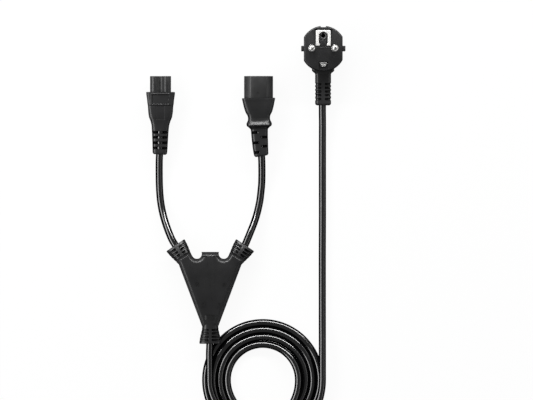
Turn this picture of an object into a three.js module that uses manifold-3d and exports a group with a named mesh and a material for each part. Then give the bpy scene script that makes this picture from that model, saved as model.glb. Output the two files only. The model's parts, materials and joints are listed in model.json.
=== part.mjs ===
// Power cord splitter: one mains plug, a coiled lead, a moulded Y block, and two tails
// with a clover-leaf connector and a larger three-slot connector.
// Millimetres, +Z up. The origin is the middle of the Y block's underside, on the table.
import * as THREE from 'three';
import { mergeVertices } from 'three/addons/utils/BufferGeometryUtils.js';
import Module from 'manifold-3d';

const wasm = await Module();
wasm.setup();

// Driving dimensions
const gap = 0.3;
const cordRadius = 3.0;
const boreRadius = cordRadius + gap;
const coreRadius = 0.95;
const coreSpread = 1.3;
const coreSides = 6;
const cordSides = 12;

const block = {
  thickness: 20,
  bevel: 2.4,
  bevelHigh: 3.2,
  middle: 10,
  humpY: 31.35,
  scallopX: 11.1,
  scallopY: 29.9,
  scallopRadius: 4.2,
  shoulder: [26.0, 21.5],
  rootOuter: [29.0, 24.6],
  rootInner: [17.4, 34.1],
  narrowHalf: 6.5,
  narrowY: -30.4,
  bootHalfEnd: 8.95,
  bootHalfRoot: 6.6,
  bootEndThickHalf: 4.6,
  bootRootThickHalf: 7.4,
  bootLength: 14.5,
  bootExit: [28.8, 37.0],
  bootTilt: THREE.MathUtils.degToRad(34),
  tailExitY: -44.3,
};
const plug = {
  x: 93.1,
  y: 198.8,
  radius: 18.5,
  flatHalf: 15.85,
  face: 32.5,
  ribHalf: 18.15,
  pinSpacing: 19,
  pinRadius: 2.4,
  pinTop: 51.5,
  reliefHalf: 6.55,
  reliefEnd: -46.4,
  cordZ: 7.5,
};
const wideConnector = {
  x: 39.85,
  z: 10,
  tip: 176.4,
  flange: 158.3,
  noseHalf: 11.9,
  noseHalfThick: 8,
  chamferWide: 5.5,
  chamferHigh: 4.0,
  contactSpacing: 14,
};
const cloverConnector = {
  x: -41.0,
  z: 8,
  tip: 176.4,
  flange: 163.3,
  lobeRadius: 3.65,
  lobeSpacing: 10,
  lobeRise: 2.6,
};
const coil = {
  x: 43.4,
  y: -74.3,
  inner: 27,
  outer: 51,
  lowerShift: 3,
  top: 5.8,
};

const colours = {
  rubber: { color: 0x242426, roughness: 0.55, metalness: 0 },
  jacket: { color: 0x1a1a1c, roughness: 0.35, metalness: 0 },
  hardBlock: { color: 0x1f1f21, roughness: 0.45, metalness: 0 },
  nickel: { color: 0xd9dadc, roughness: 0.2, metalness: 1 },
  brass: { color: 0xc2a15a, roughness: 0.3, metalness: 1 },
  brown: { color: 0x5a3420, roughness: 0.5, metalness: 0 },
  blue: { color: 0x2a56a0, roughness: 0.5, metalness: 0 },
  green: { color: 0x6f9a2c, roughness: 0.5, metalness: 0 },
};
const coreColours = ['green', 'brown', 'blue'];
const coreNames = ['earth', 'line', 'neutral'];

const object = new THREE.Group();

// Booleans
function solidOf(geometry) {
  const bare = new THREE.BufferGeometry();
  const flat = geometry.index ? geometry.toNonIndexed() : geometry;
  bare.setAttribute('position', flat.getAttribute('position').clone());
  const joined = mergeVertices(bare, 1e-4);
  const corners = [];
  for (let i = 0; i < joined.index.count; i += 3) {
    const [a, b, c] = [0, 1, 2].map((k) => joined.index.getX(i + k));
    if (a !== b && b !== c && c !== a) corners.push(a, b, c);
  }
  return new wasm.Manifold(new wasm.Mesh({
    numProp: 3,
    vertProperties: new Float32Array(joined.attributes.position.array),
    triVerts: new Uint32Array(corners),
  }));
}

function geometryOf(solid) {
  const mesh = solid.getMesh();
  const geometry = new THREE.BufferGeometry();
  geometry.setAttribute('position', new THREE.BufferAttribute(mesh.vertProperties, 3));
  geometry.setIndex(new THREE.BufferAttribute(mesh.triVerts, 1));
  const flat = geometry.toNonIndexed();
  flat.computeVertexNormals();
  return flat;
}

function joinAll(solids) {
  return solids.reduce((sum, next) => sum.add(next));
}

function place(name, solid, colour) {
  const geometry = solid.isBufferGeometry ? solid : geometryOf(solid);
  const mesh = new THREE.Mesh(geometry, new THREE.MeshStandardMaterial(colours[colour]));
  mesh.name = name;
  object.add(mesh);
}

// Shapes
function box(xLow, xHigh, yLow, yHigh, zLow, zHigh) {
  const geometry = new THREE.BoxGeometry(xHigh - xLow, yHigh - yLow, zHigh - zLow);
  geometry.translate((xLow + xHigh) / 2, (yLow + yHigh) / 2, (zLow + zHigh) / 2);
  return solidOf(geometry);
}

function curveThrough(points) {
  const spots = points.map((p) => new THREE.Vector3(...p));
  return new THREE.CatmullRomCurve3(spots, false, 'centripetal');
}

function tube(points, radius, sides, steps) {
  const section = new THREE.Shape();
  for (let i = 0; i < sides; i += 1) {
    const angle = (2 * Math.PI * i) / sides;
    const spot = [radius * Math.cos(angle), radius * Math.sin(angle)];
    if (i === 0) section.moveTo(...spot);
    else section.lineTo(...spot);
  }
  const extrudePath = curveThrough(points);
  return new THREE.ExtrudeGeometry(section, { steps, bevelEnabled: false, extrudePath });
}

function rod(from, to, radius, sides = 16) {
  const start = new THREE.Vector3(...from);
  const end = new THREE.Vector3(...to);
  const geometry = new THREE.CylinderGeometry(radius, radius, start.distanceTo(end), sides);
  const turn = new THREE.Quaternion().setFromUnitVectors(
    new THREE.Vector3(0, 1, 0),
    end.clone().sub(start).normalize(),
  );
  geometry.applyQuaternion(turn);
  const middle = start.clone().add(end).multiplyScalar(0.5);
  geometry.translate(middle.x, middle.y, middle.z);
  return solidOf(geometry);
}

function slab(shape, zLow, zHigh) {
  const options = { depth: zHigh - zLow, bevelEnabled: false, curveSegments: 10 };
  return new THREE.ExtrudeGeometry(shape, options).translate(0, 0, zLow);
}

// Moves a closed outline inwards by the same distance everywhere
function insetOutline(points, distance) {
  return points.map((point, i) => {
    const before = points[(i + points.length - 1) % points.length];
    const after = points[(i + 1) % points.length];
    const inward = [point.clone().sub(before), after.clone().sub(point)].map((edge) => (
      new THREE.Vector2(-edge.y, edge.x).normalize()
    ));
    const middle = inward[0].clone().add(inward[1]).normalize();
    return point.clone().addScaledVector(middle, distance / middle.dot(inward[0]));
  });
}

// A slab whose top and bottom edges are bevelled, from an anticlockwise outline
function bevelledSlab(points, thickness, bevelWide, bevelHigh) {
  const levels = [[0, bevelWide], [bevelHigh, 0], [thickness - bevelHigh, 0], [thickness, bevelWide]];
  const rings = levels.map(([z, inset]) => (
    insetOutline(points, inset).map((p) => new THREE.Vector3(p.x, p.y, z))
  ));
  const positions = [];
  const face = (...corners) => corners.forEach((p) => positions.push(p.x, p.y, p.z));
  const count = points.length;
  for (let k = 0; k + 1 < rings.length; k += 1) {
    for (let i = 0; i < count; i += 1) {
      const j = (i + 1) % count;
      face(rings[k][i], rings[k][j], rings[k + 1][j]);
      face(rings[k][i], rings[k + 1][j], rings[k + 1][i]);
    }
  }
  const cap = THREE.ShapeUtils.triangulateShape(insetOutline(points, bevelWide), []);
  cap.forEach(([a, b, c]) => {
    face(rings[0][c], rings[0][b], rings[0][a]);
    face(rings[3][a], rings[3][b], rings[3][c]);
  });
  const geometry = new THREE.BufferGeometry();
  geometry.setAttribute('position', new THREE.Float32BufferAttribute(positions, 3));
  return solidOf(geometry);
}

// A rounded body through sections {at: [x, y, z], along: [dx, dy], half: [side, up], power}.
// A power of 2 is an ellipse and a larger one is squarer.
function loft(sections, sides = 20) {
  const positions = [];
  const rings = sections.map(({ at, along, half, power }) => {
    const centre = new THREE.Vector3(...at);
    const forward = new THREE.Vector3(along[0], along[1], 0).normalize();
    const side = forward.clone().cross(new THREE.Vector3(0, 0, 1));
    const ring = [];
    for (let i = 0; i < sides; i += 1) {
      const angle = (2 * Math.PI * i) / sides;
      const up = Math.sign(Math.cos(angle)) * Math.abs(Math.cos(angle)) ** (2 / power);
      const out = Math.sign(Math.sin(angle)) * Math.abs(Math.sin(angle)) ** (2 / power);
      ring.push(centre.clone().addScaledVector(side, out * half[0]).setZ(centre.z + up * half[1]));
    }
    return { centre, ring };
  });
  const face = (...corners) => corners.forEach((p) => positions.push(p.x, p.y, p.z));
  for (let k = 0; k + 1 < rings.length; k += 1) {
    for (let i = 0; i < sides; i += 1) {
      const j = (i + 1) % sides;
      const [low, high] = [rings[k].ring, rings[k + 1].ring];
      face(low[i], low[j], high[j]);
      face(low[i], high[j], high[i]);
    }
  }
  const [first, last] = [rings[0], rings[rings.length - 1]];
  for (let i = 0; i < sides; i += 1) {
    const j = (i + 1) % sides;
    face(first.centre, first.ring[j], first.ring[i]);
    face(last.centre, last.ring[i], last.ring[j]);
  }
  const geometry = new THREE.BufferGeometry();
  geometry.setAttribute('position', new THREE.Float32BufferAttribute(positions, 3));
  return solidOf(geometry);
}

// Three insulated cores lie at the corners of a triangle inside the jacket
function coreOffsets() {
  return [90, 210, 330].map((degrees) => {
    const angle = THREE.MathUtils.degToRad(degrees);
    return [coreSpread * Math.cos(angle), coreSpread * Math.sin(angle)];
  });
}

// One core's wire, and the tunnel that it runs in, which is open at both ends
function coreTube(points) {
  return tube(points, coreRadius, coreSides, points.length + 2);
}

function coreTunnel(points) {
  const spots = points.map((p) => new THREE.Vector3(...p));
  const past = (end, before) => (
    end.clone().addScaledVector(end.clone().sub(before).normalize(), 1.2 * gap)
  );
  const [last, lastButOne] = [...spots].reverse();
  const longer = [past(spots[0], spots[1]), ...spots, past(last, lastButOne)];
  const radius = coreRadius + 1.5 * gap;
  return solidOf(tube(longer.map((p) => p.toArray()), radius, coreSides, points.length + 3));
}

function addCores(prefix, routes) {
  routes.forEach((points, i) => {
    place(`${prefix}_core_${coreNames[i]}`, coreTube(points), coreColours[i]);
  });
  return routes.map(coreTunnel);
}

// Cord routes, hand-picked along the photograph's lines
const bootDirection = [-Math.sin(block.bootTilt), Math.cos(block.bootTilt)];

const leftTail = [
  [-17.6, 20.4, 10], [-23.2, 28.7, 10], [-28.8, 37.0, 10], [-31.6, 41.6, 9.8], [-34.3, 47.9, 8.7],
  [-36.7, 54.5, 6.9], [-38.7, 61.1, 5.0], [-40.2, 67.7, 3.6], [-41.2, 74.3, 3.1], [-41.8, 80.9, 3.2],
  [-42.1, 87.5, 3.9], [-42.2, 94.1, 5.1], [-42.2, 100.7, 6.5], [-42.1, 107.3, 7.7],
  [-41.9, 111.8, 8.0], [-41.6, 120.0, 8.0], [-41.4, 128.0, 8.0], [-41.3, 133.0, 8.0],
];
const rightTail = [
  [17.6, 20.4, 10], [23.2, 28.7, 10], [28.6, 37.0, 10], [30.6, 41.6, 9.8], [33.2, 47.9, 8.7],
  [35.8, 54.5, 6.9], [38.0, 61.1, 5.0], [39.7, 67.7, 3.6], [41.0, 74.3, 3.1], [41.8, 80.9, 3.5],
  [42.4, 87.5, 4.9], [42.6, 94.1, 6.8], [42.6, 100.7, 8.6], [42.5, 106.5, 9.8],
  [42.3, 110.4, 10], [41.5, 120.0, 10], [40.7, 130.0, 10], [40.5, 133.0, 10],
];
const blockRun = [
  [0, -20, 10], [0, -32, 10], [-0.3, -44.3, 10], [-0.6, -52, 9.8], [-0.6, -60, 9.45],
  [-0.6, -67, 9.3], [-0.6, -74.3, 9.3],
];
const plugRun = [
  [92.5, -74.3, 9.3], [92.5, -66, 9.3], [92.5, -57, 9.2], [92.5, -48, 8.2], [92.5, -38, 6.1],
  [92.5, -28, 4.2], [92.5, -17, 3.15], [92.5, 0, 3.1], [92.5, 30, 3.1], [92.6, 60, 3.1],
  [92.6, 90, 3.1], [92.6, 112, 3.2], [92.6, 126, 4.6], [92.6, 138, 6.6], [92.5, 147, 7.45],
  [92.5, 152.4, 7.5], [92.5, 164, 7.5], [92.8, 176.6, 7.5],
];

function stepsAlong(points) {
  return Math.round(curveThrough(points).getLength() / (4.5 * cordRadius));
}

function cordTube(points) {
  return tube(points, cordRadius, cordSides, stepsAlong(points));
}

// The bore round a cord, a little deeper than the cord's own first end
function bore(points) {
  const [start, next] = points.slice(0, 2).map((p) => new THREE.Vector3(...p));
  const forward = next.clone().sub(start).normalize();
  const floor = rod(
    start.clone().addScaledVector(forward, -gap).toArray(),
    start.clone().addScaledVector(forward, 2).toArray(),
    boreRadius + gap / 2,
    cordSides,
  );
  return solidOf(tube(points, boreRadius, cordSides, stepsAlong(points))).add(floor);
}

// The Y block: a bevelled shield with a hump and two scallops, and three flared boots
function shieldShape() {
  const shape = new THREE.Shape();
  const { humpY, scallopX, scallopY, scallopRadius, narrowHalf, narrowY } = block;
  const { shoulder, rootOuter, rootInner } = block;
  const rise = Math.asin((humpY - scallopY) / scallopRadius);
  const lead = THREE.MathUtils.degToRad(25);
  shape.moveTo(-narrowHalf, narrowY);
  shape.lineTo(narrowHalf, narrowY);
  shape.lineTo(...shoulder);
  shape.lineTo(...rootOuter);
  shape.lineTo(...rootInner);
  shape.absarc(scallopX, scallopY, scallopRadius, -lead, -Math.PI - rise, true);
  shape.absarc(-scallopX, scallopY, scallopRadius, rise, -Math.PI + lead, true);
  shape.lineTo(-rootInner[0], rootInner[1]);
  shape.lineTo(-rootOuter[0], rootOuter[1]);
  shape.lineTo(-shoulder[0], shoulder[1]);
  return shape;
}

function boot(exit, direction, length) {
  const at = (back) => [exit[0] - direction[0] * back, exit[1] - direction[1] * back, block.middle];
  const { bootHalfEnd, bootHalfRoot, bootEndThickHalf, bootRootThickHalf } = block;
  return loft([
    { at: at(length + 8), along: direction, half: [bootHalfRoot - 1.4, bootRootThickHalf], power: 3 },
    { at: at(length), along: direction, half: [bootHalfRoot, bootRootThickHalf], power: 3 },
    { at: at(0), along: direction, half: [bootHalfEnd, bootEndThickHalf], power: 2.2 },
  ], 16);
}

// Grooves across the upper face of a boot or relief, with a spine left along the middle
function crossGrooves(exit, direction, backs, { spine, reach, floor, height, cut }) {
  const turn = Math.atan2(direction[1], direction[0]) - Math.PI / 2;
  return joinAll(backs.flatMap((back) => [-1, 1].map((side) => {
    const geometry = new THREE.BoxGeometry(reach - spine, height, cut);
    geometry.translate((side * (reach + spine)) / 2, -back, floor + cut / 2);
    geometry.rotateZ(turn);
    geometry.translate(exit[0], exit[1], 0);
    return solidOf(geometry);
  })));
}

const dimple = { radius: 0.6, depth: 0.8 };
const spliceHalf = 4.6;
const spliceY = 0.5;
const spliceRadius = 2.1;
const spliceLevels = [15.2, 10, 4.8];

function splitterBody() {
  const sideProfile = new THREE.Shape();
  sideProfile.moveTo(-31, 4);
  sideProfile.lineTo(-24, 1);
  sideProfile.lineTo(-10, 0);
  sideProfile.lineTo(32, 0);
  sideProfile.lineTo(32, block.thickness);
  sideProfile.lineTo(-18, block.thickness);
  sideProfile.lineTo(-31, 16);
  sideProfile.closePath();
  const wedge = slab(sideProfile, -40, 40);
  wedge.rotateX(Math.PI / 2);
  wedge.rotateZ(Math.PI / 2);
  const outline = shieldShape().getPoints(7);
  const shield = bevelledSlab(outline, block.thickness, block.bevel, block.bevelHigh);
  let body = shield.intersect(solidOf(wedge));
  const rightDirection = [-bootDirection[0], bootDirection[1]];
  const boots = [
    [[-block.bootExit[0], block.bootExit[1]], bootDirection],
    [block.bootExit, rightDirection],
    [[0, block.tailExitY], [0, -1]],
  ];
  const grooves = { spine: 1.4, reach: 10, floor: block.middle + 3.9, height: 1.2, cut: 5 };
  boots.forEach(([exit, direction]) => {
    body = body.add(boot(exit, direction, block.bootLength));
  });
  boots.forEach(([exit, direction]) => {
    body = body.subtract(crossGrooves(exit, direction, [2.9, 5.7, 8.5, 11.3], grooves));
  });
  const dimpleSpots = [[-10.9, 5.4], [11.3, 5.0], [-6.1, -11.3], [7.7, -11.7]];
  dimpleSpots.forEach(([x, y]) => {
    const from = [x, y, block.thickness - dimple.depth];
    body = body.subtract(rod(from, [x, y, block.thickness + 1], dimple.radius, 8));
  });
  return body;
}

function splitterCoreRoutes() {
  const cosTilt = Math.cos(block.bootTilt);
  const sinTilt = Math.sin(block.bootTilt);
  const main = coreOffsets().map(([side, up], i) => {
    const level = spliceLevels[i];
    const start = block.middle + up;
    return [
      [-side, -19.6, start],
      [-side * 0.8, -14, start + (level - start) * 0.35],
      [0, spliceY - spliceHalf - 2.5, level],
      [0, spliceY - spliceHalf - gap, level],
    ];
  });
  const tails = [-1, 1].map((hand) => coreOffsets().map(([side, up], i) => {
    const across = [cosTilt * side, -hand * sinTilt * side];
    const level = spliceLevels[i];
    const rise = block.middle + up - level;
    return [
      [hand * 1.15, spliceY + spliceHalf + gap, level],
      [hand * 1.6, spliceY + spliceHalf + 2.4, level],
      [hand * 8.5 + across[0] * 0.5, 12.6 + across[1] * 0.5, level + rise * 0.4],
      [hand * 14.2 + across[0], 15.6 + across[1], level + rise * 0.85],
      [hand * 17.4 + across[0], 20.1 + across[1], level + rise],
    ];
  }));
  return { main, left: tails[0], right: tails[1] };
}

const blockRoutes = splitterCoreRoutes();
const blockTunnels = [
  ...addCores('splitter_main', blockRoutes.main),
  ...addCores('splitter_left', blockRoutes.left),
  ...addCores('splitter_right', blockRoutes.right),
];
function splice(z, grow) {
  const from = [0, spliceY - spliceHalf - grow, z];
  const to = [0, spliceY + spliceHalf + grow, z];
  return rod(from, to, spliceRadius + grow);
}

spliceLevels.forEach((z, i) => {
  place(`splitter_splice_${coreNames[i]}`, splice(z, 0), 'brass');
  blockTunnels.push(splice(z, gap));
});
const blockBores = [bore(leftTail), bore(rightTail), bore(blockRun)];
place('splitter_body', splitterBody().subtract(joinAll([...blockTunnels, ...blockBores])), 'rubber');

// The plug: a round body with flats and guide ribs, a square neck and a ribbed relief
function plugOutline(radius, flatHalf) {
  const shape = new THREE.Shape();
  const flatAngle = Math.acos(flatHalf / radius);
  shape.absarc(0, 0, radius, flatAngle, Math.PI - flatAngle, false);
  shape.absarc(0, 0, radius, Math.PI + flatAngle, 2 * Math.PI - flatAngle, false);
  return shape;
}

function atPlug(solidOrGeometry) {
  if (solidOrGeometry.isBufferGeometry) return solidOrGeometry.translate(plug.x, plug.y, 0);
  return solidOrGeometry.translate([plug.x, plug.y, 0]);
}

const earth = {
  holeY: 10.4,
  socketInner: 2.75,
  socketOuter: 3.2,
  socketFloor: 15,
  frameHalf: 6.2,
  frameTop: 15.0,
  frameFoot: 2.2,
  leg: 2.6,
  footIn: 2.9,
  bowCentre: 5.0,
  strapHalf: 2.1,
  strapThick: 0.8,
  strapZ: 11.2,
  clipTopY: 17.3,
  clipLowY: -13.9,
};

// The metal frame that stands round the earth hole: two legs, a bowed top and turned-in feet
function earthFrame() {
  const { frameHalf, frameTop, frameFoot, leg, footIn, bowCentre } = earth;
  const bowRadius = frameHalf - leg;
  const bowStart = Math.PI * 0.82;
  const bowLow = frameTop - bowCentre + bowRadius * Math.sin(bowStart);
  const shape = new THREE.Shape();
  shape.moveTo(-frameHalf, frameFoot);
  shape.lineTo(-footIn, frameFoot);
  shape.lineTo(-footIn, frameFoot + 1.3);
  shape.lineTo(-frameHalf + leg, frameFoot + 2.6);
  shape.lineTo(-frameHalf + leg, bowLow);
  shape.absarc(0, frameTop - bowCentre, bowRadius, bowStart, Math.PI - bowStart, true);
  shape.lineTo(frameHalf - leg, bowLow);
  shape.lineTo(frameHalf - leg, frameFoot + 2.6);
  shape.lineTo(footIn, frameFoot + 1.3);
  shape.lineTo(footIn, frameFoot);
  shape.lineTo(frameHalf, frameFoot);
  shape.lineTo(frameHalf, frameTop - 0.8);
  shape.lineTo(frameHalf - 0.8, frameTop);
  shape.lineTo(-frameHalf + 0.8, frameTop);
  shape.lineTo(-frameHalf, frameTop - 0.8);
  shape.closePath();
  return shape;
}

// The strap under the body joins the side clips: a leaf in the top notch and a folded lower clip
function earthStrap(grow) {
  const { strapHalf, strapThick, strapZ, clipTopY, clipLowY } = earth;
  const half = strapHalf + grow;
  const bar = (yLow, yHigh, zLow, zHigh) => (
    box(-half, half, yLow - grow, yHigh + grow, zLow - grow, zHigh + grow)
  );
  return joinAll([
    bar(clipTopY - strapThick, clipTopY, strapZ, plug.face - 1.6),
    bar(clipLowY, clipTopY, strapZ, strapZ + strapThick),
    bar(clipLowY, clipLowY + strapThick, strapZ, plug.face - 0.6),
    bar(clipLowY, clipLowY + 2.4, plug.face - 1.4, plug.face - 0.6),
  ]);
}

function pin(grow) {
  const r = plug.pinRadius + grow;
  const profile = [
    [0, 9.6 - grow], [1.6 + grow, 9.6 - grow], [1.6 + grow, 15 - grow], [3.4 + grow, 15 - grow],
    [3.4 + grow, 17 + grow], [r, 17 + grow], [r, plug.pinTop - 1.6], [r * 0.82, plug.pinTop - 0.6],
    [r * 0.45, plug.pinTop - 0.1], [0, plug.pinTop],
  ];
  const geometry = new THREE.LatheGeometry(profile.map((p) => new THREE.Vector2(...p)), 20);
  return solidOf(geometry.rotateX(Math.PI / 2));
}

function plugCoreRoutes() {
  const cordEnd = plugRun[plugRun.length - 1][1];
  const [top, left, right] = coreOffsets();
  const startAt = ([side, up]) => [-side, cordEnd + gap - plug.y, plug.cordZ + up];
  const toPin = (hand) => [
    [hand * 3.5, -16, 6.6], [hand * 8.2, -8, 6.4], [hand * 9.4, -2.5, 6.6], [hand * 9.5, 0, 9.0],
  ];
  return [
    [startAt(top), [0, -17, 9.0], [0, -13, 9.6], [0, -9.5, 10.0]],
    [startAt(right), ...toPin(-1)],
    [startAt(left), ...toPin(1)],
  ].map((route) => route.map(([x, y, z]) => [x + plug.x, y + plug.y, z]));
}

const bridge = { xHalf: 13.2, yHalf: 4.2, zLow: 17.9, zHigh: 24 };

function pinBridge(grow) {
  return box(
    -bridge.xHalf - grow, bridge.xHalf + grow, -bridge.yHalf - grow, bridge.yHalf + grow,
    bridge.zLow - grow, bridge.zHigh + grow,
  );
}

function earthSocket(grow) {
  const { socketInner, socketOuter, socketFloor } = earth;
  const top = plug.face - 0.9;
  const profile = [
    [0, socketFloor - grow], [socketOuter + grow, socketFloor - grow], [socketOuter + grow, top + grow * 4],
  ];
  if (grow > 0) profile.push([0, top + grow * 4]);
  else profile.push([socketInner, top], [socketInner, socketFloor + 1], [0, socketFloor + 1]);
  const geometry = new THREE.LatheGeometry(profile.map((p) => new THREE.Vector2(...p)), 24);
  return solidOf(geometry.rotateX(Math.PI / 2)).translate([0, earth.holeY, 0]);
}

function plugBody(tunnels) {
  let body = bevelledSlab(plugOutline(plug.radius, plug.flatHalf).getPoints(12), plug.face, 0.9, 0.9);
  const z = plug.cordZ;
  const neck = [
    { at: [0, -6, z], along: [0, -1], half: [9.2, 7.2], power: 6 },
    { at: [0, -17.4, z], along: [0, -1], half: [9.2, 7.2], power: 6 },
    { at: [0, -18.5, z], along: [0, -1], half: [8.6, 7.0], power: 6 },
    { at: [0, -20.3, z], along: [0, -1], half: [plug.reliefHalf, 6.5], power: 5 },
    { at: [0, plug.reliefEnd + 1.6, z], along: [0, -1], half: [plug.reliefHalf, 6.5], power: 5 },
    { at: [0, plug.reliefEnd, z], along: [0, -1], half: [plug.reliefHalf - 1.5, 5.2], power: 4 },
  ];
  const ribs = [-1, 1].map((side) => {
    const [low, high] = [side * (plug.flatHalf - 1), side * plug.ribHalf].sort((a, b) => a - b);
    return box(low, high, -2.1, 2.1, 15, plug.face - 0.8);
  });
  body = joinAll([body, loft(neck), ...ribs]);
  const grooves = { spine: 1.5, reach: 8, floor: z + 3.9, height: 1.5, cut: 5 };
  const backs = [4.9, 8.1, 11.2, 14.3, 17.4];
  body = body.subtract(crossGrooves([0, plug.reliefEnd], [0, -1], backs, grooves));
  const frameShape = earthFrame();
  const framePocket = new THREE.Shape();
  framePocket.moveTo(-earth.frameHalf - 0.7, earth.frameFoot - gap);
  framePocket.lineTo(earth.frameHalf + 0.7, earth.frameFoot - gap);
  framePocket.lineTo(earth.frameHalf + 0.7, earth.frameTop + 0.6);
  framePocket.lineTo(-earth.frameHalf - 0.7, earth.frameTop + 0.6);
  framePocket.closePath();
  const tongue = box(-2.5, 2.5, earth.frameFoot - 1, earth.holeY - 3.9, 28, plug.face + 2);
  const topNotch = box(-2.2, 2.2, 17.5, plug.radius + 1, -1, plug.face + 1);
  const clipPocket = box(-3.8, 3.8, -17.2, -10.9, plug.face - 2.2, plug.face + 1);
  const cuts = [
    topNotch,
    clipPocket,
    solidOf(slab(framePocket, plug.face - 1.9, plug.face + 1)).subtract(tongue),
    earthStrap(gap),
    earthSocket(gap),
    pinBridge(gap),
    ...[-1, 1].map((side) => pin(gap).translate([(side * plug.pinSpacing) / 2, 0, 0])),
  ];
  body = atPlug(body.subtract(joinAll(cuts)));
  const cordBore = bore([...plugRun].reverse());
  return { body: body.subtract(joinAll([...tunnels, cordBore])), frameShape };
}

const plugTunnels = addCores('plug', plugCoreRoutes());
const plugMade = plugBody(plugTunnels);
place('plug_body', plugMade.body, 'rubber');
const pinHoles = [-1, 1].map((side) => {
  const x = (side * plug.pinSpacing) / 2;
  return rod([x, 0, 10], [x, 0, 40], plug.pinRadius + gap, 20);
});
place('plug_pin_bridge', atPlug(pinBridge(0).subtract(joinAll(pinHoles))), 'hardBlock');
place('plug_pin_line', atPlug(pin(0).translate([-plug.pinSpacing / 2, 0, 0])), 'nickel');
place('plug_pin_neutral', atPlug(pin(0).translate([plug.pinSpacing / 2, 0, 0])), 'nickel');
place('plug_earth_frame', atPlug(slab(plugMade.frameShape, plug.face - 1.6, plug.face + 0.3)), 'nickel');
place('plug_earth_strap', atPlug(earthStrap(0)), 'nickel');
place('plug_earth_socket', atPlug(earthSocket(0)), 'nickel');

// A connector's overmould runs back from its flange to the end of its relief
function alongY(x, y, z, halfSide, halfUp, power) {
  return { at: [x, y, z], along: [0, 1], half: [halfSide, halfUp], power };
}

function yHole(x, z, radius, yLow, yHigh, sides = 12) {
  return rod([x, yLow, z], [x, yHigh, z], radius, sides);
}

// The wide connector: nose block with three blade slots
function wideNose(grow) {
  const { x, z, tip, flange, noseHalf, noseHalfThick, chamferWide, chamferHigh } = wideConnector;
  const shape = new THREE.Shape();
  shape.moveTo(-noseHalf, -noseHalfThick);
  shape.lineTo(noseHalf, -noseHalfThick);
  shape.lineTo(noseHalf, noseHalfThick - chamferHigh);
  shape.lineTo(noseHalf - chamferWide, noseHalfThick);
  shape.lineTo(-noseHalf + chamferWide, noseHalfThick);
  shape.lineTo(-noseHalf, noseHalfThick - chamferHigh);
  shape.closePath();
  const nose = slab(shape, 0, tip - flange - gap);
  nose.rotateX(Math.PI / 2);
  nose.translate(x, tip, z);
  const root = box(x - 9.8 - grow, x + 9.8 + grow, 149 - grow, flange + 1, z - 5.6 - grow, z + 5.6 + grow);
  return { nose: solidOf(nose), root };
}

function wideSlots() {
  const { x, z, contactSpacing } = wideConnector;
  return [[x, z + 2], [x - contactSpacing / 2, z - 2], [x + contactSpacing / 2, z - 2]];
}

// A folded blade clip: two leaves and a back web, with a round tail for its core
function bladeContact(x, z) {
  const leaves = [-1, 1].map((side) => {
    const [low, high] = [side * 1.25, side * 1.85].sort((a, b) => a - b);
    return box(x + low, x + high, 157, 173.6, z - 2.1, z + 2.1);
  });
  const web = box(x - 1.85, x + 1.85, 156.2, 157.4, z - 2.1, z + 2.1);
  return joinAll([...leaves, web, yHole(x, z, 1.2, 151.5, 156.6, 10)]);
}

function wideCoreRoutes() {
  const slots = wideSlots();
  const { z } = wideConnector;
  const [endX, endY] = rightTail[rightTail.length - 1];
  return coreOffsets().map(([side, up], i) => [
    [endX + side, endY + 0.4, z + up],
    [endX + side * 1.6 + (slots[i][0] - endX) * 0.25, endY + 5, z + up],
    [slots[i][0], 146.5, slots[i][1]],
    [slots[i][0], 151.2, slots[i][1]],
  ]);
}

const wideTunnels = addCores('wide', wideCoreRoutes());
const wideParts = wideNose(0);
let wideBlock = wideParts.nose.add(wideParts.root);
wideSlots().forEach(([x, z], i) => {
  place(`wide_contact_${coreNames[i]}`, bladeContact(x, z), 'brass');
  wideBlock = wideBlock.subtract(joinAll([
    box(x - 1.25, x + 1.25, 174, 178, z - 2.4, z + 2.4),
    box(x - 2.15, x + 2.15, 155.9, 174.6, z - 2.4, z + 2.4),
    yHole(x, z, 1.5, 147, 157, 10),
  ]));
});
wideBlock = wideBlock.subtract(rod([39.9, 161.6, 17.6], [39.9, 161.6, 19], 1.2, 12));
place('wide_contact_block', wideBlock, 'hardBlock');

function wideShell() {
  const z = wideConnector.z;
  const shell = loft([
    alongY(42.3, 110.4, z, 5.0, 4.8, 4), alongY(42.1, 111.6, z, 5.9, 5.6, 4),
    alongY(41.4, 118, z, 6.3, 5.8, 4), alongY(40.9, 125, z, 6.7, 6.0, 4),
    alongY(40.5, 132.7, z, 7.0, 6.3, 4), alongY(40.4, 134.2, z, 8.45, 7.6, 5),
    alongY(40.3, 136.2, z, 10.5, 9.2, 5), alongY(40.3, 138.8, z, 9.9, 9.0, 5),
    alongY(40.2, 141.3, z, 9.0, 8.3, 5), alongY(40.2, 143.6, z, 9.3, 8.5, 5),
    alongY(40.1, 146.9, z, 11.1, 9.0, 5), alongY(40.0, 151.5, z, 12.5, 9.5, 6),
    alongY(39.95, 155, z, 13.1, 9.8, 7), alongY(39.95, 158.3, z, 13.65, 10, 7),
  ]);
  const windowSpots = [[-1, 130], [-1, 121.6], [-1, 113.9], [1, 125.8], [1, 118.2]];
  const windows = windowSpots.map(([side, y]) => {
    const centre = 40.6 + (132.7 - y) * 0.075;
    const [low, high] = [centre + side * 1.4, centre + side * 5.0].sort((a, b) => a - b);
    return box(low, high, y - 0.9, y + 0.9, z - 9, z + 9);
  });
  const wideBore = bore([...rightTail].reverse());
  return shell.subtract(joinAll([wideNose(gap).root, wideBore, ...windows, ...wideTunnels]));
}
place('wide_shell', wideShell(), 'rubber');

// The clover connector: three round lobes with pin holes
function cloverSpots() {
  const { x, z, lobeSpacing, lobeRise } = cloverConnector;
  return [[x, z - lobeRise], [x - lobeSpacing / 2, z + lobeRise], [x + lobeSpacing / 2, z + lobeRise]];
}

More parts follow.
